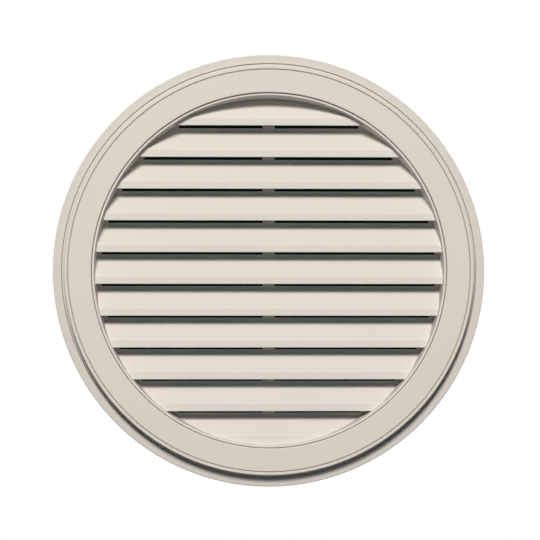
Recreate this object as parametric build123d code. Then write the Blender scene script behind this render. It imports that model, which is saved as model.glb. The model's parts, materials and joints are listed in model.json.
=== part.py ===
from build123d import *

import os
from math import atan2, cos, radians, tan

# Round louvred gable vent in three pieces: a moulded body with fixed louvres and a nailing flange,
# a trim ring that snaps over the body's collar, and an insect screen staked across the back.
# Millimetres. X is to the right, Z is up and the front faces -Y. The origin is the centre of the
# opening on the wall plane, where the back of the flange seats. "Forward" is the distance in
# front of that plane, along -Y. Turned forms are drawn as radius and Y, and revolved about Y.

# Collar, which the trim ring snaps over
opening_diameter = 452.2
body_wall = 3.0
collar_draft_angle = 5.0
lip_chamfer = 0.9

# Louvres, clear of each other in height so that the body pulls straight from its mould
louvre_count = 11
louvre_wall = 2.2
louvre_depth = 23.0
nose_height = 10.3
nose_setback = 9.2
nose_round = 3.0
slot_gap = 3.0
louvre_rise = 2.9
rain_lip_height = 1.8

# Frame across the back of the louvres, and the spigot that enters the rough opening
frame_thickness = 3.0
ledge_width = 5.0
mullion_width = 16.0
spigot_depth = 19.0

# Nailing flange, with gussets up to the collar
flange_width = 38.0
flange_thickness = 3.0
screw_count = 8
screw_hole_diameter = 4.8
screw_edge_distance = 14.0
gusset_count = 6
gusset_reach = 9.0
gusset_rise = 12.0
gusset_thickness = 2.0

# Trim ring, from its inner edge outwards
trim_wall = 2.5
trim_gap = 0.5
trim_edge_chamfer = 1.2
face_proud = 3.0
face_width = 30.2
groove_width = 1.4
groove_depth = 1.3
bead_width = 4.5
bead_chamfer = 1.1
step_draft_angle = 2.0
band_step = 14.4
cove_radius = 2.7
quirk_width = 1.0
quirk_depth = 1.3
band_width = 10.9
band_chamfer = 1.0
band_return = 5.4
skirt_depth = 12.0
rib_count = 8
rib_depth = 8.0
rib_thickness = 2.0

# Snap clips: saw-toothed legs on the trim ring, and racks on the collar that they ratchet along
clip_count = 6
leg_width = 20.0
leg_wall = 2.2
leg_standoff = 5.0
leg_teeth = 2
rack_teeth = 4
rack_margin = 2.0
tooth_pitch = 3.0
tooth_height = 1.2
clip_clearance = 0.25

# Insect screen and the stakes that hold it
screen_thickness = 0.6
screen_clearance = 0.5
stake_count = 8
mullion_stake_count = 3
stake_width = 2.4
stake_head_width = 3.6
stake_head_height = 1.2
stake_clearance = 0.2

# Places that follow from the sizes above
louvre_nose = frame_thickness + louvre_depth
louvre_pitch = opening_diameter / louvre_count
collar_front = louvre_nose + nose_setback
opening_radius = opening_diameter / 2
draft_slope = tan(radians(collar_draft_angle))
wall_across = body_wall / cos(radians(collar_draft_angle))


def collar_inside(forward):
    return opening_radius - (collar_front - forward) * draft_slope


def collar_outside(forward):
    return collar_inside(forward) + wall_across


def collar_middle(forward):
    return collar_inside(forward) + wall_across / 2


bore_radius = collar_inside(0)
spigot_radius = collar_outside(0)
flange_radius = spigot_radius + flange_width
screw_circle_radius = flange_radius - screw_edge_distance
ledge_radius = bore_radius - ledge_width
stake_circle_radius = bore_radius - ledge_width / 2

rack_crest = collar_outside(collar_front)
rack_root = rack_crest - tooth_height
rack_rear = flange_thickness + leg_standoff
leg_inside = rack_crest + clip_clearance

trim_inner_radius = rack_crest + trim_gap
groove_radius = trim_inner_radius + face_width
bead_radius = groove_radius + bead_width
face_front = collar_front + face_proud
band_front = face_front - band_step
trim_rear = band_front - band_return
skirt_rear = face_front - skirt_depth
step_slope = tan(radians(step_draft_angle))


def step_outside(forward):
    return bead_radius + (face_front - forward) * step_slope


def step_inside(forward):
    return step_outside(forward) - trim_wall / cos(radians(step_draft_angle))


cove_foot_radius = step_outside(band_front) + cove_radius
trim_radius = cove_foot_radius + quirk_width + band_width


def profile(corners):
    """A face in the XY plane from corners given as radius, distance forward and chamfer."""
    places = [Vector(radius, -forward) for radius, forward, chamfer in corners]
    points = []
    for index, place in enumerate(places):
        chamfer = corners[index][2]
        before = (places[index - 1] - place).normalized()
        after = (places[(index + 1) % len(places)] - place).normalized()
        points += [place + before * chamfer, place + after * chamfer] if chamfer else [place]
    return make_face(Polyline(*points, close=True))


def turned(corners):
    """A full ring of the given profile."""
    return revolve(profile(corners), axis=Axis.Y)


def plates(corners, thickness, angles):
    """Flat copies of a profile, standing on radial planes at the given angles."""
    plate = extrude(profile(corners), thickness / 2, both=True)
    return [Rot(0, angle, 0) * plate for angle in angles]


def spaced(count, turn_share=0):
    """Angles of equal steps round the ring, moved on by a share of one step."""
    return [360 * (step + turn_share) / count for step in range(count)]


def on_circle(radius, angles):
    """Places on a circle about Y in the wall plane."""
    return [Rot(0, angle, 0) * Pos(radius, 0, 0) for angle in angles]


def stake_places():
    """Places of the screen's stakes in the wall plane: round the ledge and down the mullion."""
    spacing = 2 * ledge_radius / (mullion_stake_count + 1)
    middle = (mullion_stake_count - 1) / 2
    heights = [(step - middle) * spacing for step in range(mullion_stake_count)]
    ledge_angles = spaced(stake_count, turn_share=1 / 2)
    return on_circle(stake_circle_radius, ledge_angles) + [Pos(0, 0, height) for height in heights]


def collar_and_flange():
    """The turned part of the body: drafted collar with its lip, nailing flange and rear spigot."""
    return turned(
        [
            (collar_inside(collar_front), collar_front, lip_chamfer),
            (collar_outside(collar_front), collar_front, lip_chamfer),
            (collar_outside(flange_thickness), flange_thickness, 0),
            (flange_radius, flange_thickness, 0),
            (flange_radius, 0, 0),
            (spigot_radius, 0, 0),
            (spigot_radius, -spigot_depth, 0),
            (bore_radius, -spigot_depth, 0),
            (bore_radius, 0, 0),
        ]
    )


def louvre_section(nose_drop):
    """One louvre from the side: a drip nose that ends below height zero, a slope and a rain lip."""
    lip_top = louvre_pitch - slot_gap
    slope_top = lip_top - rain_lip_height
    bend_drop = louvre_wall * tan(atan2(louvre_depth, slope_top - nose_height) / 2)
    nose_back = louvre_nose - louvre_wall
    lip_back = frame_thickness - louvre_wall
    corners = [
        (louvre_nose, -nose_drop, 0),
        (louvre_nose, nose_height, nose_round),
        (frame_thickness, slope_top, 0),
        (frame_thickness, lip_top, 0),
        (lip_back, lip_top, 0),
        (lip_back, slope_top - bend_drop, 0),
        (nose_back, nose_height - bend_drop, 0),
        (nose_back, -nose_drop, 0),
    ]
    points = [(-forward, height) for forward, height, rounding in corners]
    rounds = [rounding for forward, height, rounding in corners]
    return Plane.YZ * make_face(FilletPolyline(*points, radius=rounds, close=True))


def louvres():
    """All louvres, cut to a cone down the middle of the collar's wall so that their ends root in it.

    The lowest nose reaches down into the collar, so that no gap opens under it.
    """
    core = turned(
        [
            (0, 0, 0),
            (collar_middle(0), 0, 0),
            (collar_middle(collar_front), collar_front, 0),
            (0, collar_front, 0),
        ]
    )
    blades = []
    for row in range(louvre_count):
        lowest = row == louvre_count - 1
        section = louvre_section(nose_drop=louvre_rise if lowest else 0)
        foot = (louvre_count / 2 - 1 - row) * louvre_pitch + louvre_rise
        blade = extrude(section, opening_radius + body_wall, both=True)
        blades.append(core & (Pos(0, 0, foot) * blade))
    return blades


def back_frame():
    """The ledge round the bore and the mullion down its middle, which carry the louvres' rain lips."""
    ledge = turned(
        [
            (ledge_radius, 0, 0),
            (collar_middle(0), 0, 0),
            (collar_middle(frame_thickness), frame_thickness, 0),
            (ledge_radius, frame_thickness, 0),
        ]
    )
    mullion_length = 2 * ledge_radius + ledge_width
    mullion = Pos(0, -frame_thickness / 2, 0) * Box(mullion_width, frame_thickness, mullion_length)
    return [ledge, mullion]


def screen_stakes():
    """Posts behind the ledge and mullion, with the flattened heads that trap the screen."""
    root = frame_thickness / 2
    length = root + screen_thickness
    post = Pos(0, length / 2 - root, 0) * Box(stake_width, length, stake_width)
    head_middle = screen_thickness + stake_head_height / 2
    head = Pos(0, head_middle, 0) * Box(stake_head_width, stake_head_height, stake_head_width)
    return [place * (post + head) for place in stake_places()]


def flange_gussets():
    """Webs between the front of the flange and the collar, between the clips."""
    reach = collar_outside(flange_thickness) + gusset_reach
    rise = flange_thickness + gusset_rise
    root = flange_thickness / 2
    corners = [
        (collar_middle(root), root, 0),
        (reach, root, 0),
        (reach, flange_thickness, 0),
        (collar_outside(rise), rise, 0),
        (collar_middle(rise), rise, 0),
    ]
    return plates(corners, gusset_thickness, spaced(gusset_count, turn_share=1 / 2))


def clip_racks():
    """Saw-toothed pads on the outside of the collar: ramps face the front, and stops face the wall."""
    rack_front = rack_rear + rack_teeth * tooth_pitch
    corners = [(collar_middle(rack_front), rack_front, 0), (collar_middle(rack_rear), rack_rear, 0)]
    for tooth in range(rack_teeth):
        stop = rack_rear + tooth * tooth_pitch
        corners.append((rack_crest, stop, 0))
        corners.append((rack_root, stop + tooth_pitch, 0))
    return plates(corners, leg_width + 2 * rack_margin, spaced(clip_count))


def vent_body():
    """The one-piece moulding: collar, flange, louvres, back frame, stakes, gussets and racks."""
    body = collar_and_flange() + louvres() + back_frame()
    body += screen_stakes() + flange_gussets() + clip_racks()
    hole = Rot(90, 0, 0) * Cylinder(screw_hole_diameter / 2, 4 * flange_thickness)
    return body - [place * hole for place in on_circle(screw_circle_radius, spaced(screw_count))]


def trim_shell():
    """The turned part of the trim: skirt, face, groove, bead, step, cove, quirk and band with its return."""
    face_back = face_front - trim_wall
    band_back = band_front - trim_wall
    cove_top = band_front + cove_radius
    cove_bend = cove_radius * cos(radians(45))
    return turned(
        [
            (trim_inner_radius, skirt_rear, 0),
            (trim_inner_radius, face_front, trim_edge_chamfer),
            (groove_radius - groove_width / 2, face_front, 0),
            (groove_radius, face_front - groove_depth, 0),
            (groove_radius + groove_width / 2, face_front, 0),
            (bead_radius, face_front, bead_chamfer),
            (step_outside(cove_top), cove_top, 0),
            (cove_foot_radius - cove_bend, cove_top - cove_bend, 0),
            (cove_foot_radius, band_front, 0),
            (cove_foot_radius + quirk_width / 2, band_front - quirk_depth, 0),
            (cove_foot_radius + quirk_width, band_front, 0),
            (trim_radius, band_front, band_chamfer),
            (trim_radius, trim_rear, 0),
            (trim_radius - trim_wall, trim_rear, 0),
            (trim_radius - trim_wall, band_back, 0),
            (step_inside(band_back), band_back, 0),
            (step_inside(face_back), face_back, 0),
            (trim_inner_radius + trim_wall, face_back, 0),
            (trim_inner_radius + trim_wall, skirt_rear, 0),
        ]
    )


def trim_ribs():
    """Webs behind the broad face, from the skirt to the step."""
    inner = trim_inner_radius + trim_wall / 2
    front = face_front - trim_wall / 2
    rear = face_front - rib_depth
    corners = [
        (inner, front, 0),
        (inner, rear, 0),
        (step_outside(rear) - trim_wall / 2, rear, 0),
        (step_outside(front) - trim_wall / 2, front, 0),
    ]
    return plates(corners, rib_thickness, spaced(rib_count, turn_share=1 / 2))


def snap_legs():
    """Legs behind the skirt, whose teeth hook behind the rack's stops with a small clearance."""
    leg_front = skirt_rear + trim_wall
    ramp_length = tooth_pitch - clip_clearance
    hook_height = tooth_height * ramp_length / tooth_pitch
    corners = [
        (leg_inside, leg_front, 0),
        (leg_inside + leg_wall, leg_front, 0),
        (leg_inside + leg_wall, rack_rear, 0),
    ]
    for tooth in range(leg_teeth):
        ramp_start = rack_rear + tooth * tooth_pitch
        corners.append((leg_inside, ramp_start, 0))
        corners.append((leg_inside - hook_height, ramp_start + ramp_length, 0))
        corners.append((leg_inside, ramp_start + ramp_length, 0))
    return plates(corners, leg_width, spaced(clip_count))


def trim_ring():
    """The clip-on moulding: shell, ribs and legs."""
    return trim_shell() + trim_ribs() + snap_legs()


def insect_screen():
    """A flat mesh disc that lies on the back of the ledge and mullion, holed for the stakes."""
    disc = turned(
        [
            (0, 0, 0),
            (bore_radius - screen_clearance, 0, 0),
            (bore_radius - screen_clearance, -screen_thickness, 0),
            (0, -screen_thickness, 0),
        ]
    )
    hole_width = stake_width + 2 * stake_clearance
    hole = Box(hole_width, 4 * screen_thickness, hole_width)
    return disc - [place * hole for place in stake_places()]


os.makedirs("parts", exist_ok=True)
pieces = {
    "vent_body": vent_body(),
    "trim_ring": trim_ring(),
    "insect_screen": insect_screen(),
}
for node, piece in pieces.items():
    export_step(piece, f"parts/{node}.step")
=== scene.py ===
"""Looks of a round louvred gable vent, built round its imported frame.

Sizes are in millimetres, and MM turns them into the frame's metres. X is to the right, +Y goes into the wall
and Z is up. "Forward" is the distance in front of the wall plane, along -Y, and "radius" is measured from the
vent's axis, which is the Y axis.
"""

import json
import logging
import math
from abc import ABC, abstractmethod
from collections.abc import Callable, Iterable, Mapping, Sequence
from dataclasses import dataclass, replace
from enum import Enum
from functools import cached_property
from typing import Any, ClassVar, NamedTuple

import bmesh
import bpy
from mathutils import Matrix, Vector

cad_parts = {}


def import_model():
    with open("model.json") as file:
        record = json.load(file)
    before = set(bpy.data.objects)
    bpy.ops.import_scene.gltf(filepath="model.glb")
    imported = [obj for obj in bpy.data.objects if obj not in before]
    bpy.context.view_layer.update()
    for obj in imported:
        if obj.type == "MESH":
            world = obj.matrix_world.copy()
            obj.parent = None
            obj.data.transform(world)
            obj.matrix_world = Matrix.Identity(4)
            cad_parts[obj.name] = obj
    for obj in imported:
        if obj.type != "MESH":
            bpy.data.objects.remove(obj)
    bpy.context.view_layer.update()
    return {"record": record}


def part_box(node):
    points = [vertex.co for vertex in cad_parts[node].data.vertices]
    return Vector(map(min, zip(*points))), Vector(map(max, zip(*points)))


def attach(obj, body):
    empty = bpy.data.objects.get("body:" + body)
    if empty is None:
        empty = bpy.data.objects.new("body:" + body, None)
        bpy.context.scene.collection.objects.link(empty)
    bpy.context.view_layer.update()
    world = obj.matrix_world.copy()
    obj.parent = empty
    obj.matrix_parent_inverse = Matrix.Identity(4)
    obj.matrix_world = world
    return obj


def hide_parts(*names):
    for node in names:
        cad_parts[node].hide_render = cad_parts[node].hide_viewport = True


MM = 0.001
FULL_TURN = 2 * math.pi
WELD_DISTANCE = MM / 1000
SHARP_ANGLE = math.radians(38)
LEAST_ARC_STEPS = 2
EASED_EDGE_STEPS = 2
ROUND_PROFILE = 0.5
NOISE_MIDDLE = 0.5
ROOT_BODY = "root"
LOG = logging.getLogger("gable_vent")


class Slot(Enum):
    """The record's material slots."""

    BODY = "body_plastic"
    TRIM = "trim_plastic"
    SCREEN = "screen_mesh"


class Corner(NamedTuple):
    """A corner of a section: its two coordinates, and the radius of the arc that replaces it."""

    first: float
    second: float
    rounding: float = 0.0


class ShadedSeam(NamedTuple):
    """A narrow line of painted shade round a turned part: the radius of its middle, and its width."""

    radius: float
    width: float


class Layer(NamedTuple):
    """One level of a pillar: half its width, and its place along Y."""

    half_width: float
    depth: float


def rounded(corners: Sequence[Corner], largest_turn: float = math.radians(10)) -> list[Vector]:
    """Turns a closed outline of corners into points, with a tangent arc at each rounded corner.

    Args:
        corners: the outline's corners, in order.
        largest_turn: the largest turn between two points of an arc.

    Returns:
        The outline's points, in the same order.
    """
    points: list[Vector] = []
    places = [Vector(corner[:2]) for corner in corners]
    for index, corner in enumerate(corners):
        place = places[index]
        if not corner.rounding:
            points.append(place)
            continue
        back = (places[index - 1] - place).normalized()
        ahead = (places[(index + 1) % len(places)] - place).normalized()
        half_angle = back.angle(ahead) / 2
        turn = math.pi - 2 * half_angle
        centre = place + (back + ahead).normalized() * corner.rounding / math.sin(half_angle)
        start = place + back * corner.rounding / math.tan(half_angle) - centre
        end = place + ahead * corner.rounding / math.tan(half_angle) - centre
        count = max(LEAST_ARC_STEPS, math.ceil(turn / largest_turn))
        for step in range(count + 1):
            swept = turn * step / count
            points.append(centre + (start * math.sin(turn - swept) + end * math.sin(swept)) / math.sin(turn))
    return points


def split_runs(points: Sequence[Vector], longest: float) -> list[Vector]:
    """Adds points along the long runs of a closed outline.

    Args:
        points: the outline's points, in order.
        longest: the longest run that stays whole.

    Returns:
        The outline with its long runs divided evenly.
    """
    divided: list[Vector] = []
    for index, point in enumerate(points):
        run = points[(index + 1) % len(points)] - point
        count = max(1, math.ceil(run.length / longest))
        divided += [point + run * step / count for step in range(count)]
    return divided


def kept_within(points: Sequence[Vector], room: Callable[[Vector], float]) -> list[Vector]:
    """Cuts a closed outline back along a straight line.

    Args:
        points: the outline's points, in order.
        room: a linear function of a place, positive on the side that is kept.

    Returns:
        The points of the part that is kept.
    """
    kept: list[Vector] = []
    for index, point in enumerate(points):
        following = points[(index + 1) % len(points)]
        here, there = room(point), room(following)
        if here >= 0:
            kept.append(point)
        if here * there < 0:
            kept.append(point.lerp(following, here / (here - there)))
    return kept


def box_section(front: float, rear: float, low: float, high: float) -> list[Vector]:
    """The corners of a rectangular section, as forward distance and height."""
    return [Vector(place) for place in ((front, high), (front, low), (rear, low), (rear, high))]


def spaced(count: int, turn_share: float = 0.0) -> list[float]:
    """Angles of equal steps round the axis, moved on by a share of one step."""
    return [FULL_TURN * (step + turn_share) / count for step in range(count)]


def round_axis(radius: float, angle: float) -> tuple[float, float]:
    """The X and Z of a place at a radius and an angle."""
    return radius * math.cos(angle), -radius * math.sin(angle)


def close_prism(mesh: bmesh.types.BMesh, loops: Sequence[Sequence[bmesh.types.BMVert]]) -> None:
    """Joins loops of equal length by quads, one after another, and caps the first and the last.

    Args:
        mesh: the mesh that holds the loops.
        loops: the loops' vertices, in the same direction.
    """
    for lower, upper in zip(loops, loops[1:]):
        for step in range(len(lower)):
            following = (step + 1) % len(lower)
            mesh.faces.new((lower[step], lower[following], upper[following], upper[step]))
    mesh.faces.new(loops[0][::-1])
    mesh.faces.new(loops[-1])


def turned(points: Sequence[Vector], segments: int = 384) -> bmesh.types.BMesh:
    """Turns a closed outline about the vent's axis.

    Args:
        points: the outline, as radius and forward distance.
        segments: the steps of a full turn.

    Returns:
        A closed ring of quads.
    """
    mesh = bmesh.new()
    rings = []
    for angle in spaced(segments):
        places = [(*round_axis(point.x, angle), point.y) for point in points]
        rings.append([mesh.verts.new(Vector((x, -forward, z)) * MM) for x, z, forward in places])
    for index, ring in enumerate(rings):
        following = rings[(index + 1) % segments]
        for step in range(len(points)):
            after = (step + 1) % len(points)
            mesh.faces.new((ring[step], ring[after], following[after], following[step]))
    return mesh


def add_bar(mesh: bmesh.types.BMesh, points: Sequence[Vector], half_lengths: Iterable[float]) -> None:
    """Adds a closed bar along X, whose section's points each run to their own half length.

    Args:
        mesh: the mesh that gains the bar.
        points: the section, as forward distance and height.
        half_lengths: how far each point's run goes to either side.
    """
    halves = list(half_lengths)
    loops = []
    for side in (-1, 1):
        places = [Vector((side * half, -point.x, point.y)) for point, half in zip(points, halves)]
        loops.append([mesh.verts.new(place * MM) for place in places])
    close_prism(mesh, loops)


def add_plates(
    mesh: bmesh.types.BMesh, points: Sequence[Vector], thickness: float, angles: Iterable[float]
) -> None:
    """Adds flat plates that stand on radial planes.

    Args:
        mesh: the mesh that gains the plates.
        points: the plate's outline, as radius and forward distance.
        thickness: the plate's thickness across its radial plane.
        angles: the places round the axis.
    """
    for angle in angles:
        turn = Matrix.Rotation(angle, 3, "Y")
        loops = []
        for side in (-1, 1):
            places = [Vector((point.x, -point.y, side * thickness / 2)) for point in points]
            loops.append([mesh.verts.new(turn @ place * MM) for place in places])
        close_prism(mesh, loops)


def add_pillar(
    mesh: bmesh.types.BMesh, place: tuple[float, float], layers: Sequence[Layer], corner_share: float
) -> None:
    """Adds a closed pillar along Y, of square layers with rounded corners.

    Args:
        mesh: the mesh that gains the pillar.
        place: the X and Z of the pillar's axis.
        layers: the pillar's levels, in order along Y.
        corner_share: the corners' radius as a share of half the width, where 1 gives a circle.
    """
    signs = ((1, 1), (-1, 1), (-1, -1), (1, -1))
    loops = []
    for half, depth in layers:
        outline = rounded([Corner(half * x, half * z, half * corner_share) for x, z in signs])
        places = [Vector((place[0] + point.x, depth, place[1] + point.y)) for point in outline]
        loops.append([mesh.verts.new(place * MM) for place in places])
    close_prism(mesh, loops)


def ease_edges(mesh: bmesh.types.BMesh, width: float, sharpest: float = math.radians(30)) -> None:
    """Rounds a mesh's sharp edges by a small width, as a mould leaves them.

    Args:
        mesh: the mesh, whose edges are changed in place.
        width: how far the rounding goes from an edge.
        sharpest: the largest turn between two faces that stays as it is.
    """
    mesh.normal_update()
    bmesh.ops.bevel(
        mesh,
        geom=[edge for edge in mesh.edges if edge.is_manifold and edge.calc_face_angle() > sharpest],
        offset=width * MM,
        segments=EASED_EDGE_STEPS,
        profile=ROUND_PROFILE,
        affect="EDGES",
        clamp_overlap=True,
    )


def as_object(mesh: bmesh.types.BMesh, name: str) -> bpy.types.Object:
    """Makes an object of a mesh, with its normals outwards.

    Args:
        mesh: the mesh, which is freed.
        name: the object's name.

    Returns:
        The object, in the scene.
    """
    bmesh.ops.remove_doubles(mesh, verts=mesh.verts, dist=WELD_DISTANCE)
    bmesh.ops.recalc_face_normals(mesh, faces=mesh.faces)
    data = bpy.data.meshes.new(name)
    mesh.to_mesh(data)
    mesh.free()
    piece = bpy.data.objects.new(name, data)
    bpy.context.scene.collection.objects.link(piece)
    return piece


def cut_away(piece: bpy.types.Object, cutter_mesh: bmesh.types.BMesh) -> None:
    """Takes closed cutters out of a piece's mesh.

    Args:
        piece: the object that is cut.
        cutter_mesh: the cutters, which are freed.
    """
    cutter = as_object(cutter_mesh, f"{piece.name}_cutter")
    modifier = piece.modifiers.new("cut", "BOOLEAN")
    modifier.object = cutter
    modifier.operation = "DIFFERENCE"
    modifier.solver = "EXACT"
    evaluated = piece.evaluated_get(bpy.context.evaluated_depsgraph_get())
    result = bpy.data.meshes.new_from_object(evaluated)
    piece.modifiers.clear()
    piece.data = result
    bpy.data.objects.remove(cutter)


class Socket:
    """An output socket of a node, with Python's arithmetic for plain values."""

    def __init__(self, graph: "Graph", node: bpy.types.Node, output: int | str) -> None:
        """Keeps a node's output.

        Args:
            graph: the tree that holds the node.
            node: the node itself.
            output: the name or place of the output.
        """
        self.graph = graph
        self.node = node
        self.output = output

    @property
    def source(self) -> bpy.types.NodeSocket:
        """The socket that links start from."""
        return self.node.outputs[self.output]

    def math(self, operation: str, *values: "Socket | float") -> "Socket":
        """Adds a Math node on the given values."""
        return self.graph.node("ShaderNodeMath", {"operation": operation}, dict(enumerate(values)))

    def __add__(self, other: "Socket | float") -> "Socket":
        """This value plus another."""
        return self.math("ADD", self, other)

    __radd__ = __add__

    def __sub__(self, other: "Socket | float") -> "Socket":
        """This value less another."""
        return self.math("SUBTRACT", self, other)

    def __rsub__(self, other: "Socket | float") -> "Socket":
        """Another value less this one."""
        return self.math("SUBTRACT", other, self)

    def __mul__(self, other: "Socket | float") -> "Socket":
        """This value times another."""
        return self.math("MULTIPLY", self, other)

    __rmul__ = __mul__

    def __truediv__(self, other: "Socket | float") -> "Socket":
        """This value over another."""
        return self.math("DIVIDE", self, other)

    def __rtruediv__(self, other: "Socket | float") -> "Socket":
        """Another value over this one."""
        return self.math("DIVIDE", other, self)

    def rounded(self) -> "Socket":
        """The nearest whole number."""
        return self.math("ROUND", self)

    def size(self) -> "Socket":
        """The value without its sign."""
        return self.math("ABSOLUTE", self)

    def wave(self) -> "Socket":
        """A wave from 1 at even numbers to 0 at odd ones."""
        return self.math("COSINE", self * math.pi) / 2 + 1 / 2

    def root(self) -> "Socket":
        """The square root of the value."""
        return self.math("SQRT", self)

    def at_least(self, other: "Socket | float") -> "Socket":
        """The larger of this value and another."""
        return self.math("MAXIMUM", self, other)

    def clamped(self) -> "Socket":
        """The value kept between 0 and 1."""
        return self.graph.node("ShaderNodeClamp", inputs={"Value": self})

    def above(self, limit: float) -> "Socket":
        """1 where the value is above a limit, and 0 elsewhere."""
        return self.math("GREATER_THAN", self, limit)


class Graph:
    """A node tree that is filled from an empty start."""

    def __init__(self, tree: bpy.types.NodeTree) -> None:
        """Takes a tree over and empties it."""
        self.tree = tree
        tree.nodes.clear()

    def node(
        self,
        kind: str,
        settings: Mapping[str, Any] | None = None,
        inputs: Mapping[int | str, Any] | None = None,
        output: int | str = 0,
    ) -> Socket:
        """Adds a node of any kind.

        Args:
            kind: the node's type name.
            settings: the node's own properties, which are set first.
            inputs: values or sockets by the name or place of the input.
            output: the name or place of the output that is wanted.

        Returns:
            The wanted output.
        """
        node = self.tree.nodes.new(kind)
        for name, setting in (settings or {}).items():
            setattr(node, name, setting)
        for key, given in (inputs or {}).items():
            if isinstance(given, Socket):
                self.tree.links.new(given.source, node.inputs[key])
            else:
                node.inputs[key].default_value = given
        return Socket(self, node, output)

    def place(self) -> tuple[Socket, Socket, Socket]:
        """Splits the place of a point of the surface.

        Returns:
            Its X, Y and Z in the piece's own metres.
        """
        place = self.node("ShaderNodeTexCoord", output="Object")
        parts = self.node("ShaderNodeSeparateXYZ", inputs={"Vector": place})
        return parts, Socket(self, parts.node, 1), Socket(self, parts.node, 2)

    def noise(self, feature_size: float, detail: float) -> Socket:
        """Adds a noise texture.

        Args:
            feature_size: the size of its features in millimetres.
            detail: the octaves of finer features.

        Returns:
            The noise, from 0 to 1.
        """
        place = self.node("ShaderNodeTexCoord", output="Object")
        inputs = {"Vector": place, "Scale": 1 / (feature_size * MM), "Detail": detail}
        return self.node("ShaderNodeTexNoise", inputs=inputs)

    def blend(
        self, share: Socket, first: Socket | Sequence[float], second: Socket | Sequence[float]
    ) -> Socket:
        """Blends two colours.

        Args:
            share: how much of the second colour there is.
            first: the colour at 0.
            second: the colour at 1.

        Returns:
            The blended colour.
        """
        # The Mix node repeats its names for each type of data, so its colour sockets go by place.
        factor, colour_a, colour_b, result = 0, 6, 7, 2
        inputs: dict[int | str, Any] = {factor: share}
        for key, colour in ((colour_a, first), (colour_b, second)):
            inputs[key] = colour if isinstance(colour, Socket) else (*colour, 1.0)
        return self.node("ShaderNodeMix", {"data_type": "RGBA"}, inputs, result)

    def bump(self, height: Socket, depth: float, strength: float) -> Socket:
        """A normal that follows a height of 0 to 1, scaled to a depth in millimetres."""
        inputs = {"Height": height, "Distance": depth * MM, "Strength": strength}
        return self.node("ShaderNodeBump", inputs=inputs)


def new_material(name: str) -> tuple[bpy.types.Material, Graph]:
    """Makes a material with an empty node tree.

    Args:
        name: the material's name.

    Returns:
        The material, and the graph that fills it.
    """
    material = bpy.data.materials.new(name)
    material.use_nodes = True
    return material, Graph(material.node_tree)


@dataclass(frozen=True)
class MouldedPlastic:
    """Satin plastic with the fine grain of its mould, and a faint cloudiness from the flow of the melt."""

    name: str
    colour: tuple[float, float, float]
    roughness: float = 0.6
    specular_level: float = 0.25
    cloud_size: float = 85.0
    cloud_detail: float = 3.0
    cloud_tint_share: float = 0.018
    grain_size: float = 0.8
    grain_detail: float = 2.0
    grain_depth: float = 0.02
    grain_strength: float = 0.35
    grain_gloss: float = 0.07

    def clouded(self, cloud: Socket, colour: Sequence[float]) -> Socket:
        """Makes a colour drift a little with the clouds.

        Args:
            cloud: the clouds, from 0 to 1.
            colour: the colour in the middle of its drift.

        Returns:
            The drifting colour.
        """
        darker = [value * (1 - self.cloud_tint_share) for value in colour]
        lighter = [value * (1 + self.cloud_tint_share) for value in colour]
        return cloud.graph.blend(cloud, darker, lighter)

    def tone(self, cloud: Socket) -> Socket:
        """The colour over the whole surface."""
        return self.clouded(cloud, self.colour)

    def material(self) -> bpy.types.Material:
        """Makes the finish's material.

        Returns:
            The material.
        """
        material, graph = new_material(self.name)
        cloud = graph.noise(self.cloud_size, self.cloud_detail)
        grain = graph.noise(self.grain_size, self.grain_detail)
        unevenness = (grain - NOISE_MIDDLE) * self.grain_gloss + (cloud - NOISE_MIDDLE) * self.grain_gloss
        inputs = {
            "Base Color": self.tone(cloud),
            "Roughness": unevenness + self.roughness,
            "Specular IOR Level": self.specular_level,
            "Normal": graph.bump(grain, self.grain_depth, self.grain_strength),
        }
        surface = graph.node("ShaderNodeBsdfPrincipled", inputs=inputs, output="BSDF")
        graph.node("ShaderNodeOutputMaterial", inputs={"Surface": surface})
        return material


@dataclass(frozen=True)
class RingPlastic(MouldedPlastic):
    """Moulded plastic of a ring, with painted shade that greys it towards its rim and darkens its narrow
    grooves.

    The ring that wears it sets the radii where the painted band shade starts and reaches its full strength,
    and the grooves that are shaded.
    """

    # Painted shade: from the bead's outer round out to the rim, the ring takes this darker, greyer colour
    # instead of its own.
    band_shade_colour: tuple[float, float, float] = (0.588, 0.537, 0.482)
    # Painted shade in the groove and the quirk, darker than the band.
    seam_shade_colour: tuple[float, float, float] = (0.475, 0.427, 0.380)
    band_shade_start: float = 0.0
    band_shade_full: float = 1.0
    shaded_seams: tuple[ShadedSeam, ...] = ()

    def tone(self, cloud: Socket) -> Socket:
        """Colours the face, and paints shade on the outer band and in the grooves.

        Args:
            cloud: the clouds, from 0 to 1.

        Returns:
            The colour over the whole surface.
        """
        x, _, z = cloud.graph.place()
        radius = (x * x + z * z).root() / MM
        # Painted shade mask: 0 on the face, rising to 1 across the bead's outer round, and 1 out to the rim.
        outside = ((radius - self.band_shade_start) / (self.band_shade_full - self.band_shade_start)).clamped()
        face, band = self.clouded(cloud, self.colour), self.clouded(cloud, self.band_shade_colour)
        colour = cloud.graph.blend(outside, face, band)
        # Each groove gets painted shade across its width.
        for seam in self.shaded_seams:
            clear = (radius - seam.radius).size().above(seam.width / 2)
            colour = cloud.graph.blend(clear, self.seam_shade_colour, colour)
        return colour


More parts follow.
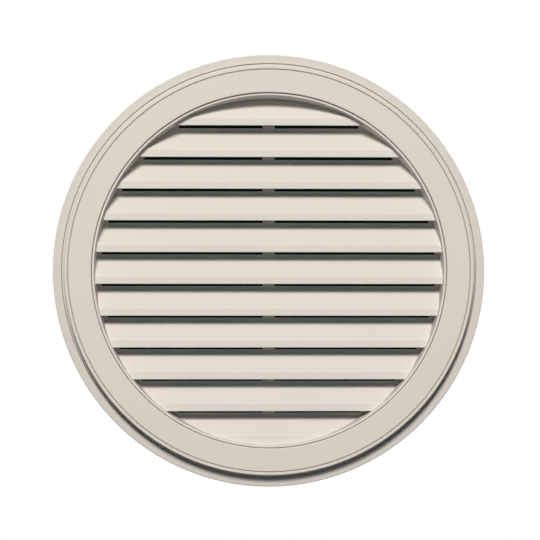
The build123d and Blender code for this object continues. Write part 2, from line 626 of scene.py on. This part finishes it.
@dataclass(frozen=True)
class WovenScreen:
    """Black coated strands in a plain weave; the gaps between them are painted near-black, as painted shade
    for the dark seen through a mesh.
    """

    name: str
    strand_colour: tuple[float, float, float]
    gap_shade_colour: tuple[float, float, float]
    pitch: float = 1.4
    strand_share: float = 0.34
    crimp_depth: float = 0.15
    crimp_strength: float = 1.0
    roughness: float = 0.72
    sheen: float = 0.12

    def strand(self, across: Socket) -> Socket:
        """How near a place is to the middle of a strand: 1 on it, and 0 or less in the gap."""
        return 1 - (across - across.rounded()).size() / self.strand_share

    def material(self) -> bpy.types.Material:
        """Makes the finish's material.

        Returns:
            The material.
        """
        material, graph = new_material(self.name)
        x, _, z = graph.place()
        across, along = x / (self.pitch * MM), z / (self.pitch * MM)
        warp, weft = self.strand(across).at_least(0.0), self.strand(along).at_least(0.0)
        warp_rise = (along + across.rounded()).wave()
        weft_rise = 1 - (across + along.rounded()).wave()
        height = (warp * warp_rise).at_least(weft * weft_rise)
        # Base Color: the strands keep their own black, and the gaps get painted shade.
        inputs = {
            "Base Color": graph.blend(warp.at_least(weft), self.gap_shade_colour, self.strand_colour),
            "Roughness": self.roughness,
            "Specular IOR Level": self.sheen,
            "Normal": graph.bump(height, self.crimp_depth, self.crimp_strength),
        }
        surface = graph.node("ShaderNodeBsdfPrincipled", inputs=inputs, output="BSDF")
        graph.node("ShaderNodeOutputMaterial", inputs={"Surface": surface})
        return material


@dataclass(frozen=True)
class StudioFloor:
    """A pale floor: near white to the camera apart from shadows, and dim in the light that it gives back."""

    name: str
    pale: float = 0.85
    glow: float = 0.55
    dim: float = 0.04

    def material(self) -> bpy.types.Material:
        """Makes the finish's material.

        Returns:
            The material.
        """
        material, graph = new_material(self.name)
        greys = [(level, level, level, 1.0) for level in (self.pale, self.dim)]
        pale, dim = (graph.node("ShaderNodeBsdfDiffuse", inputs={"Color": grey}) for grey in greys)
        glow = graph.node("ShaderNodeEmission", inputs={"Strength": self.glow})
        shown = graph.node("ShaderNodeAddShader", inputs={0: pale, 1: glow})
        surface = graph.node("ShaderNodeMixShader", inputs={0: seen_rays(graph), 1: dim, 2: shown})
        graph.node("ShaderNodeOutputMaterial", inputs={"Surface": surface})
        return material


def seen_rays(graph: Graph) -> Socket:
    """Tells the rays that show a background from those that only light.

    Args:
        graph: the tree that is filled.

    Returns:
        1 for rays from the camera, mirror-like rays and rays through glass, and 0 for the rest.
    """
    camera = graph.node("ShaderNodeLightPath", output="Is Camera Ray")
    glossy = Socket(graph, camera.node, "Is Glossy Ray")
    through = Socket(graph, camera.node, "Is Transmission Ray")
    return camera.at_least(glossy).at_least(through)


@dataclass(frozen=True)
class Envelope:
    """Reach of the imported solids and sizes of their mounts."""

    trim_radius: float
    trim_front: float
    flange_radius: float
    collar_front: float
    spigot_depth: float
    spigot_radius: float
    screw_circle_radius: float
    screw_hole_radius: float
    screw_count: int
    screen_radius: float
    screen_thickness: float

    @classmethod
    def measured(cls, record: Mapping[str, Any]) -> "Envelope":
        """Reads the sizes from the frame's boxes and mounts.

        Args:
            record: the frame's record.

        Returns:
            The sizes in millimetres.
        """
        trim_low, trim_high = (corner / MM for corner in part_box("trim_ring"))
        body_low, body_high = (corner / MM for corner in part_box("vent_body"))
        _, screen_high = (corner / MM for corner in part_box("insect_screen"))
        mounts = {mount["name"]: mount["dims"] for mount in record["mounts"]}
        return cls(
            trim_radius=trim_high.x,
            trim_front=-trim_low.y,
            flange_radius=body_high.x,
            collar_front=-body_low.y,
            spigot_depth=body_high.y,
            spigot_radius=mounts["rear_spigot"]["r_mm"],
            screw_circle_radius=mounts["screw_holes"]["pcd_mm"] / 2,
            screw_hole_radius=mounts["screw_holes"]["hole_r_mm"],
            screw_count=mounts["screw_holes"]["count"],
            screen_radius=screen_high.x,
            screen_thickness=screen_high.y,
        )


@dataclass
class SubAssembly(ABC):
    """A group of pieces that stands for one node of the frame."""

    envelope: Envelope
    finish: MouldedPlastic | WovenScreen
    node: ClassVar[str]
    slot: ClassVar[Slot]

    @cached_property
    def material(self) -> bpy.types.Material:
        """The material of all the pieces, made with the first of them."""
        return self.finish.material()

    @abstractmethod
    def build(self) -> None:
        """Makes all the pieces."""

    def add(
        self, name: str, mesh: bmesh.types.BMesh, cutter: bmesh.types.BMesh | None = None
    ) -> bpy.types.Object:
        """Makes a piece, dresses it and ties it to the frame.

        Args:
            name: the piece's name.
            mesh: the piece's mesh, which is freed.
            cutter: closed shapes that are taken out of it.

        Returns:
            The finished piece.
        """
        piece = as_object(mesh, name)
        if cutter is not None:
            cut_away(piece, cutter)
        piece.data.shade_smooth()
        piece.data.set_sharp_from_angle(angle=SHARP_ANGLE)
        shading = piece.modifiers.new("even_shading", "WEIGHTED_NORMAL")
        shading.keep_sharp = True
        piece.data.materials.clear()
        piece.data.materials.append(self.material)
        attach(piece, ROOT_BODY)
        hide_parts(self.node)
        LOG.info("%s: %d faces for %s", name, len(piece.data.polygons), self.node)
        return piece


@dataclass
class VentBody(SubAssembly):
    """The one-piece moulding: collar, louvres, back frame, flange, gussets, racks and stakes."""

    node: ClassVar[str] = "vent_body"
    slot: ClassVar[Slot] = Slot.BODY

    wall: float = 3.0
    draft_angle: float = math.radians(5)
    lip_round: float = 1.1
    edge_round: float = 0.6
    root_fillet: float = 1.2

    louvre_count: int = 11
    louvre_wall: float = 2.2
    nose_setback: float = 9.2
    nose_height: float = 10.3
    nose_round: float = 4.5
    nose_edge_round: float = 0.5
    slot_gap: float = 2.2
    louvre_rise: float = 2.9
    rain_lip_height: float = 2.6
    rain_lip_round: float = 0.5
    longest_run: float = 1.2
    end_margin: float = 0.05

    frame_thickness: float = 3.0
    frame_inset: float = 0.1
    ledge_width: float = 5.0
    notch_reach: float = 117.0
    notch_margin: float = 0.5
    notch_height: float = 4.1
    mullion_width: float = 16.0

    flange_thickness: float = 3.0
    gusset_count: int = 6
    gusset_reach: float = 9.0
    gusset_rise: float = 12.0
    gusset_thickness: float = 2.0

    clip_count: int = 6
    rack_width: float = 24.0
    rack_standoff: float = 5.0
    rack_teeth: int = 4
    tooth_pitch: float = 3.0
    tooth_height: float = 1.2
    tooth_ease: float = 0.12

    stake_count: int = 8
    mullion_stake_count: int = 3
    stake_width: float = 2.4
    stake_head_width: float = 3.6
    stake_head_height: float = 1.2
    stake_corner_share: float = 0.5

    def collar_outside(self, forward: float) -> float:
        """Radius of the collar's outer wall."""
        return self.envelope.spigot_radius + forward * math.tan(self.draft_angle)

    def collar_inside(self, forward: float) -> float:
        """Radius of the collar's inner wall."""
        return self.collar_outside(forward) - self.wall / math.cos(self.draft_angle)

    def collar_middle(self, forward: float) -> float:
        """Radius of the middle of the collar's wall, where the louvres' ends root."""
        return (self.collar_outside(forward) + self.collar_inside(forward)) / 2

    @property
    def opening_radius(self) -> float:
        """Radius of the opening at the lip."""
        return self.collar_inside(self.envelope.collar_front)

    @property
    def bore_radius(self) -> float:
        """Radius inside the spigot."""
        return self.collar_inside(0)

    @property
    def ledge_radius(self) -> float:
        """Radius inside the ledge."""
        return self.bore_radius - self.ledge_width

    @property
    def louvre_pitch(self) -> float:
        """Distance between rows of louvres."""
        return 2 * self.opening_radius / self.louvre_count

    @property
    def rack_crest(self) -> float:
        """Radius of the rack's teeth."""
        return self.collar_outside(self.envelope.collar_front)

    @property
    def rack_rear(self) -> float:
        """Forward place of the rack's rear end."""
        return self.flange_thickness + self.rack_standoff

    def shell(self) -> bmesh.types.BMesh:
        """Turns the collar with its rounded lip, the flange, the spigot and the ledge.

        Returns:
            The closed mesh.
        """
        front = self.envelope.collar_front
        rear = -self.envelope.spigot_depth
        flange = self.envelope.flange_radius
        spigot = self.envelope.spigot_radius
        ledge_front = self.frame_thickness - self.frame_inset
        corners = [
            Corner(self.collar_inside(front), front, self.lip_round),
            Corner(self.collar_outside(front), front, self.lip_round),
            Corner(self.collar_outside(self.flange_thickness), self.flange_thickness, self.root_fillet),
            Corner(flange, self.flange_thickness, self.edge_round),
            Corner(flange, 0, self.edge_round),
            Corner(spigot, 0),
            Corner(spigot, rear, self.edge_round),
            Corner(self.bore_radius, rear, self.edge_round),
            Corner(self.bore_radius, 0),
            Corner(self.ledge_radius, 0, self.edge_round),
            Corner(self.ledge_radius, ledge_front, self.edge_round),
            Corner(self.collar_inside(ledge_front), ledge_front, self.edge_round),
        ]
        return turned(rounded(corners))

    def screw_drills(self) -> bmesh.types.BMesh:
        """Makes cutters for the flange's screw holes, flared to ease the holes' rims.

        Returns:
            The closed cutters.
        """
        radius = self.envelope.screw_hole_radius
        rim = radius + self.edge_round
        front = -self.flange_thickness
        layers = [
            Layer(rim, front - self.flange_thickness),
            Layer(rim, front),
            Layer(radius, front + self.edge_round),
            Layer(radius, -self.edge_round),
            Layer(rim, 0),
            Layer(rim, self.flange_thickness),
        ]
        mesh = bmesh.new()
        for angle in spaced(self.envelope.screw_count):
            add_pillar(mesh, round_axis(self.envelope.screw_circle_radius, angle), layers, corner_share=1.0)
        return mesh

    def louvre_foot(self, row: int) -> float:
        """Height of the foot of a row's nose, where row 0 is the highest."""
        return (self.louvre_count / 2 - 1 - row) * self.louvre_pitch + self.louvre_rise

    def cutters(self) -> bmesh.types.BMesh:
        """Makes cutters for the screw holes, and a bar that squares the ledge off where the top slot ends.

        Returns:
            The closed cutters.
        """
        mesh = self.screw_drills()
        low = self.louvre_foot(0) - self.slot_gap - self.notch_margin
        front = self.frame_thickness + self.notch_margin
        section = box_section(front, -self.notch_margin, low, low + self.notch_height)
        add_bar(mesh, section, [self.notch_reach] * len(section))
        return mesh

    def louvre_section(self, nose_drop: float) -> list[Vector]:
        """One louvre from the side: a drip nose, a slope and a rain lip.

        Args:
            nose_drop: how far the nose reaches below height zero.

        Returns:
            The section's points, as forward distance and height.
        """
        nose = self.envelope.collar_front - self.nose_setback
        depth = nose - self.frame_thickness
        lip_top = self.louvre_pitch - self.slot_gap
        slope_top = lip_top - self.rain_lip_height
        bend_drop = self.louvre_wall * math.tan(math.atan2(depth, slope_top - self.nose_height) / 2)
        nose_back = nose - self.louvre_wall
        lip_back = self.frame_thickness - self.louvre_wall
        corners = [
            Corner(nose, -nose_drop, self.nose_edge_round),
            Corner(nose, self.nose_height, self.nose_round),
            Corner(self.frame_thickness, slope_top, self.rain_lip_round),
            Corner(self.frame_thickness, lip_top, self.rain_lip_round),
            Corner(lip_back, lip_top, self.rain_lip_round),
            Corner(lip_back, slope_top - bend_drop, self.nose_round),
            Corner(nose_back, self.nose_height - bend_drop, self.rain_lip_round),
            Corner(nose_back, -nose_drop, self.nose_edge_round),
        ]
        return rounded(corners)

    def louvres(self) -> bmesh.types.BMesh:
        """Makes all louvres, whose ends root in the collar's wall.

        The lowest nose reaches down into the collar.

        Returns:
            The mesh, with each louvre closed.
        """
        mesh = bmesh.new()
        for row in range(self.louvre_count):
            lowest = row == self.louvre_count - 1
            section = self.louvre_section(self.louvre_rise if lowest else 0.0)
            foot = Vector((0, self.louvre_foot(row)))
            points = [point + foot for point in split_runs(section, self.longest_run)]
            for side in (-1, 1):
                points = kept_within(points, lambda p: self.collar_middle(p.x) - self.end_margin - side * p.y)
            add_bar(mesh, points, (math.sqrt(self.collar_middle(p.x) ** 2 - p.y**2) for p in points))
        return mesh

    def mullion(self) -> bmesh.types.BMesh:
        """Makes the bar down the middle of the back, which carries the louvres' rain lips.

        Returns:
            The closed mesh.
        """
        half_length = self.ledge_radius + self.ledge_width / 2
        section = box_section(self.frame_thickness - self.frame_inset, 0, -half_length, half_length)
        mesh = bmesh.new()
        add_bar(mesh, section, [self.mullion_width / 2] * len(section))
        ease_edges(mesh, self.edge_round)
        return mesh

    def gussets(self) -> bmesh.types.BMesh:
        """Makes the webs between the front of the flange and the collar.

        Returns:
            The mesh, with each web closed.
        """
        root = self.flange_thickness / 2
        reach = self.collar_outside(self.flange_thickness) + self.gusset_reach
        rise = self.flange_thickness + self.gusset_rise
        corners = [
            Corner(self.collar_middle(root), root),
            Corner(reach, root),
            Corner(reach, self.flange_thickness, self.edge_round),
            Corner(self.collar_outside(rise), rise, self.edge_round),
            Corner(self.collar_middle(rise), rise),
        ]
        mesh = bmesh.new()
        add_plates(mesh, rounded(corners), self.gusset_thickness, spaced(self.gusset_count, turn_share=1 / 2))
        ease_edges(mesh, self.edge_round / 2)
        return mesh

    def racks(self) -> bmesh.types.BMesh:
        """Makes the saw-toothed pads on the collar: ramps face the front, and stops face the wall.

        Returns:
            The mesh, with each pad closed.
        """
        rear = self.rack_rear
        front = rear + self.rack_teeth * self.tooth_pitch
        corners = [Corner(self.collar_middle(front), front), Corner(self.collar_middle(rear), rear)]
        for tooth in range(self.rack_teeth):
            stop = rear + tooth * self.tooth_pitch
            corners.append(Corner(self.rack_crest, stop, self.tooth_ease))
            corners.append(Corner(self.rack_crest - self.tooth_height, stop + self.tooth_pitch))
        mesh = bmesh.new()
        add_plates(mesh, rounded(corners), self.rack_width, spaced(self.clip_count))
        ease_edges(mesh, self.tooth_ease)
        return mesh

    def stake_places(self) -> list[tuple[float, float]]:
        """Places the stakes round the ledge and down the mullion.

        Returns:
            The X and Z of each stake.
        """
        circle = self.bore_radius - self.ledge_width / 2
        spacing = 2 * self.ledge_radius / (self.mullion_stake_count + 1)
        middle = (self.mullion_stake_count - 1) / 2
        places = [round_axis(circle, angle) for angle in spaced(self.stake_count, turn_share=1 / 2)]
        return places + [(0.0, (step - middle) * spacing) for step in range(self.mullion_stake_count)]

    def stakes(self) -> bmesh.types.BMesh:
        """Makes the posts behind the ledge and mullion, with the domed heads that trap the screen.

        Returns:
            The mesh, with each stake closed.
        """
        post = self.stake_width / 2
        head = self.stake_head_width / 2
        seat = self.envelope.screen_thickness
        top = seat + self.stake_head_height
        shoulder = seat + self.stake_head_height / 2
        layers = [
            Layer(post, -self.frame_thickness / 2),
            Layer(post, seat),
            Layer(head, seat),
            Layer(head, shoulder),
            Layer((post + head) / 2, (shoulder + top) / 2),
            Layer(post, top),
        ]
        mesh = bmesh.new()
        for place in self.stake_places():
            add_pillar(mesh, place, layers, self.stake_corner_share)
        return mesh

    def build(self) -> None:
        """Makes all the pieces of the moulding."""
        self.add("body_shell", self.shell(), cutter=self.cutters())
        self.add("louvres", self.louvres())
        self.add("mullion", self.mullion())
        self.add("flange_gussets", self.gussets())
        self.add("clip_racks", self.racks())
        self.add("screen_stakes", self.stakes())


@dataclass
class TrimRing(SubAssembly):
    """The clip-on moulding: shell, ribs and toothed legs."""

    finish: RingPlastic
    body: VentBody
    node: ClassVar[str] = "trim_ring"
    slot: ClassVar[Slot] = Slot.TRIM

    wall: float = 2.5
    gap: float = 0.5
    inner_round: float = 1.5
    face_width: float = 30.2
    groove_width: float = 1.6
    groove_depth: float = 1.9
    groove_rim: float = 0.2
    groove_shade_share: float = 0.6
    slot_floor_share: float = 0.12
    slot_floor_round_share: float = 0.9
    bead_width: float = 4.5
    bead_round: float = 1.1
    step_draft_angle: float = math.radians(2)
    band_step: float = 14.4
    cove_radius: float = 2.7
    cove_round_share: float = 0.85
    quirk_width: float = 1.5
    quirk_depth: float = 1.9
    quirk_lean: float = 0.9
    band_round: float = 1.3
    band_return: float = 5.4
    back_fillet: float = 1.0
    edge_round: float = 0.5

    skirt_depth: float = 12.0
    rib_count: int = 8
    rib_depth: float = 8.0
    rib_thickness: float = 2.0

    leg_width: float = 20.0
    leg_wall: float = 2.2
    leg_teeth: int = 2
    clip_clearance: float = 0.25

    @property
    def inner_radius(self) -> float:
        """Radius of the trim's inner edge."""
        return self.body.rack_crest + self.gap

    @property
    def groove_radius(self) -> float:
        """Radius of the middle of the groove between the face and the bead."""
        return self.inner_radius + self.face_width

    @property
    def quirk_radius(self) -> float:
        """Radius of the middle of the quirk between the cove and the band."""
        return self.step_outside(self.band_front) + self.cove_radius + self.quirk_width / 2

    @property
    def band_front(self) -> float:
        """Forward place of the outer band's face."""
        return self.envelope.trim_front - self.band_step

    @property
    def skirt_rear(self) -> float:
        """Forward place of the skirt's rear edge."""
        return self.envelope.trim_front - self.skirt_depth

    def step_outside(self, forward: float) -> float:
        """Radius of the outside of the step between the bead and the band."""
        drop = self.envelope.trim_front - forward
        return self.groove_radius + self.bead_width + drop * math.tan(self.step_draft_angle)

    def step_inside(self, forward: float) -> float:
        """Radius of the inside of the step."""
        return self.step_outside(forward) - self.wall / math.cos(self.step_draft_angle)

    @cached_property
    def material(self) -> bpy.types.Material:
        """Fits the finish to the ring: painted shade in the groove and the quirk, and on the band from the
        bead outwards.

        Returns:
            The material of all the pieces.
        """
        # Painted shade: the band tone starts on the bead's outer round, and the groove and the quirk are
        # shaded.
        bead_edge = self.step_outside(self.envelope.trim_front)
        groove = ShadedSeam(self.groove_radius, self.groove_width * self.groove_shade_share)
        quirk = ShadedSeam(self.quirk_radius, self.quirk_width)
        fitted = replace(
            self.finish, band_shade_start=bead_edge - self.bead_round, band_shade_full=bead_edge, shaded_seams=(groove, quirk)
        )
        return fitted.material()

    def slot_corners(
        self, radius: float, forward: float, width: float, depth: float, lean: float = 0.0
    ) -> list[Corner]:
        """Corners of a narrow slot in a face, nearly pointed at its bottom.

        Args:
            radius: the middle of the slot.
            forward: the face that it is cut into.
            width: the slot's width at the face.
            depth: the slot's depth.
            lean: how far the bottom lies towards the axis, as a share of its room.

        Returns:
            The corners, from the inside outwards.
        """
        mouth = width / 2
        floor = mouth * self.slot_floor_share
        floor_round = floor * self.slot_floor_round_share
        bottom = radius - lean * (mouth - floor)
        return [
            Corner(radius - mouth, forward, self.groove_rim),
            Corner(bottom - floor, forward - depth, floor_round),
            Corner(bottom + floor, forward - depth, floor_round),
            Corner(radius + mouth, forward, self.groove_rim),
        ]

    def shell(self) -> bmesh.types.BMesh:
        """Turns the skirt, the face, the groove, the bead, the step, the cove, the quirk and the band.

        Returns:
            The closed mesh.
        """
        face = self.envelope.trim_front
        face_back = face - self.wall
        band_back = self.band_front - self.wall
        rear = self.band_front - self.band_return
        outer = self.envelope.trim_radius
        skirt_outside = self.inner_radius + self.wall
        step_foot = self.step_outside(self.band_front)
        corners = [
            Corner(self.inner_radius, self.skirt_rear, self.edge_round),
            Corner(self.inner_radius, face, self.inner_round),
            *self.slot_corners(self.groove_radius, face, self.groove_width, self.groove_depth),
            Corner(self.step_outside(face), face, self.bead_round),
            Corner(step_foot, self.band_front, self.cove_radius * self.cove_round_share),
            *self.slot_corners(
                self.quirk_radius, self.band_front, self.quirk_width, self.quirk_depth, self.quirk_lean
            ),
            Corner(outer, self.band_front, self.band_round),
            Corner(outer, rear, self.edge_round),
            Corner(outer - self.wall, rear, self.edge_round),
            Corner(outer - self.wall, band_back, self.back_fillet),
            Corner(self.step_inside(band_back), band_back, self.edge_round),
            Corner(self.step_inside(face_back), face_back, self.back_fillet),
            Corner(skirt_outside, face_back, self.back_fillet),
            Corner(skirt_outside, self.skirt_rear, self.edge_round),
        ]
        return turned(rounded(corners))

    def ribs(self) -> bmesh.types.BMesh:
        """Makes the webs behind the broad face, from the skirt to the step.

        Returns:
            The mesh, with each web closed.
        """
        inner = self.inner_radius + self.wall / 2
        front = self.envelope.trim_front - self.wall / 2
        rear = self.envelope.trim_front - self.rib_depth
        corners = [
            Corner(inner, front),
            Corner(inner, rear),
            Corner(self.step_outside(rear) - self.wall / 2, rear),
            Corner(self.step_outside(front) - self.wall / 2, front),
        ]
        mesh = bmesh.new()
        add_plates(mesh, rounded(corners), self.rib_thickness, spaced(self.rib_count, turn_share=1 / 2))
        ease_edges(mesh, self.edge_round)
        return mesh

    def legs(self) -> bmesh.types.BMesh:
        """Makes the legs behind the skirt, whose teeth hook behind the rack's stops with a small clearance.

        Returns:
            The mesh, with each leg closed.
        """
        inside = self.body.rack_crest + self.clip_clearance
        front = self.skirt_rear + self.wall
        ramp_length = self.body.tooth_pitch - self.clip_clearance
        hook_height = self.body.tooth_height * ramp_length / self.body.tooth_pitch
        corners = [
            Corner(inside, front),
            Corner(inside + self.leg_wall, front),
            Corner(inside + self.leg_wall, self.body.rack_rear, self.edge_round),
        ]
        for tooth in range(self.leg_teeth):
            ramp_start = self.body.rack_rear + tooth * self.body.tooth_pitch
            corners.append(Corner(inside, ramp_start))
            corners.append(Corner(inside - hook_height, ramp_start + ramp_length, self.body.tooth_ease))
            corners.append(Corner(inside, ramp_start + ramp_length))
        mesh = bmesh.new()
        add_plates(mesh, rounded(corners), self.leg_width, spaced(self.body.clip_count))
        ease_edges(mesh, self.body.tooth_ease)
        return mesh

    def build(self) -> None:
        """Makes all the pieces of the moulding."""
        self.add("trim_shell", self.shell())
        self.add("trim_ribs", self.ribs())
        self.add("clip_legs", self.legs())


@dataclass
class InsectScreen(SubAssembly):
    """The woven sheet across the back, holed for the stakes."""

    body: VentBody
    node: ClassVar[str] = "insect_screen"
    slot: ClassVar[Slot] = Slot.SCREEN

    hem_round: float = 0.2
    stake_clearance: float = 0.2

    def build(self) -> None:
        """Makes the sheet."""
        radius = self.envelope.screen_radius
        thickness = self.envelope.screen_thickness
        corners = [
            Corner(0, 0),
            Corner(radius, 0, self.hem_round),
            Corner(radius, -thickness, self.hem_round),
            Corner(0, -thickness),
        ]
        half_hole = self.body.stake_width / 2 + self.stake_clearance
        layers = [Layer(half_hole, -thickness), Layer(half_hole, 2 * thickness)]
        cutter = bmesh.new()
        for place in self.body.stake_places():
            add_pillar(cutter, place, layers, self.body.stake_corner_share)
        self.add("screen_sheet", turned(rounded(corners)), cutter)


@dataclass(frozen=True)
class Lamp:
    """A round soft lamp that looks at the vent, in degrees, metres and watts."""

    name: str
    azimuth: float
    elevation: float
    distance: float
    width: float
    power: float
    colour: tuple[float, float, float] = (1.0, 1.0, 1.0)

    def build(self) -> None:
        """Adds the lamp. Azimuth 0 is in front, and a positive one is to the right."""
        data = bpy.data.lights.new(self.name, "AREA")
        data.shape = "DISK"
        data.size = self.width
        data.energy = self.power
        data.color = self.colour
        lamp = bpy.data.objects.new(self.name, data)
        bpy.context.scene.collection.objects.link(lamp)
        azimuth, elevation = math.radians(self.azimuth), math.radians(self.elevation)
        level = math.cos(elevation)
        outward = Vector((math.sin(azimuth) * level, -math.cos(azimuth) * level, math.sin(elevation)))
        lamp.location = outward * self.distance
        lamp.rotation_euler = (-outward).to_track_quat("-Z", "Y").to_euler()


@dataclass
class Studio:
    """Floor, lamps, white surroundings and the camera at the photograph's angle. Lengths are in metres."""

    ring_radius: float
    photo_width_px: float = 540.0
    ring_radius_px: float = 216.0
    centre_right_px: float = -0.9
    centre_down_px: float = 0.35
    camera_distance: float = 3.5
    camera_height: float = -0.093
    camera_side: float = -0.117
    camera_sensor: float = 36.0
    floor_height: float = -0.62
    floor_radius: float = 1.25
    floor_segments: int = 96
    ambient: float = 0.075
    ambient_colour: tuple[float, float, float] = (0.72, 0.88, 1.0)
    lamps: tuple[Lamp, ...] = (
        Lamp(
            "key_lamp",
            azimuth=-5.4,
            elevation=31,
            distance=9.0,
            width=2.53,
            power=894.0,
            colour=(1.0, 0.975, 0.94),
        ),
        Lamp(
            "front_fill",
            azimuth=0,
            elevation=3,
            distance=3.4,
            width=1.6,
            power=8.5,
            colour=(0.6, 0.82, 1.0),
        ),
        Lamp("right_fill", azimuth=118, elevation=10, distance=4.0, width=2.0, power=95.0),
        Lamp("left_fill", azimuth=-118, elevation=10, distance=4.0, width=2.0, power=95.0),
        Lamp("back_lamp", azimuth=172, elevation=6, distance=5.0, width=2.0, power=140.0),
    )

    def floor(self) -> None:
        """Lays a plain pale floor below the vent."""
        mesh = bmesh.new()
        bmesh.ops.create_circle(mesh, cap_ends=True, segments=self.floor_segments, radius=self.floor_radius)
        floor = as_object(mesh, "studio_floor")
        floor.location.z = self.floor_height
        floor.data.materials.append(StudioFloor("pale_floor").material())

    def surroundings(self) -> None:
        """Makes the world white to the camera, and dim and cool as a light."""
        world = bpy.data.worlds.new("white_surroundings")
        world.use_nodes = True
        bpy.context.scene.world = world
        graph = Graph(world.node_tree)
        seen = seen_rays(graph)
        inputs = {
            "Color": graph.blend(seen, self.ambient_colour, (1.0, 1.0, 1.0)),
            "Strength": seen * (1 - self.ambient) + self.ambient,
        }
        background = graph.node("ShaderNodeBackground", inputs=inputs)
        graph.node("ShaderNodeOutputWorld", inputs={"Surface": background})

    def camera(self, plane_forward: float) -> None:
        """Places the camera so that the ring has its size and place in the photograph.

        Args:
            plane_forward: how far the ring's widest edge is in front of the wall plane.
        """
        pixel = self.ring_radius / self.ring_radius_px
        data = bpy.data.cameras.new("photo_camera")
        data.sensor_width = self.camera_sensor
        data.lens = self.camera_sensor * self.camera_distance / (self.photo_width_px * pixel)
        camera = bpy.data.objects.new("photo_camera", data)
        bpy.context.scene.collection.objects.link(camera)
        bpy.context.scene.camera = camera
        target = Vector((-self.centre_right_px * pixel, -plane_forward, self.centre_down_px * pixel))
        camera.location = Vector((self.camera_side, target.y - self.camera_distance, self.camera_height))
        camera.rotation_euler = (target - camera.location).to_track_quat("-Z", "Y").to_euler()

    def build(self, plane_forward: float) -> None:
        """Makes the whole studio.

        Args:
            plane_forward: how far the ring's widest edge is in front of the wall plane.
        """
        bpy.context.scene.view_settings.view_transform = "Standard"
        self.floor()
        self.surroundings()
        for lamp in self.lamps:
            lamp.build()
        self.camera(plane_forward)


def main() -> None:
    """Loads the frame, builds the vent over it and lights it."""
    logging.basicConfig(level=logging.INFO, format="%(name)s %(message)s")
    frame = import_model()
    envelope = Envelope.measured(frame["record"])

    body_finish = MouldedPlastic("body_moulding", colour=(0.659, 0.604, 0.549))
    # The trim's finish paints shade on its band and in its grooves.
    trim_finish = RingPlastic("trim_moulding", colour=(0.650, 0.583, 0.518))
    # The weave's gaps are painted near-black as shade.
    screen_finish = WovenScreen(
        "black_weave", strand_colour=(0.014, 0.014, 0.015), gap_shade_colour=(0.003, 0.003, 0.003)
    )

    body = VentBody(envelope, body_finish)
    trim = TrimRing(envelope, trim_finish, body)
    screen = InsectScreen(envelope, screen_finish, body)
    for assembly in (body, trim, screen):
        assembly.build()

    Studio(ring_radius=envelope.trim_radius * MM).build(plane_forward=trim.band_front * MM)


if __name__ == "__main__":
    main()
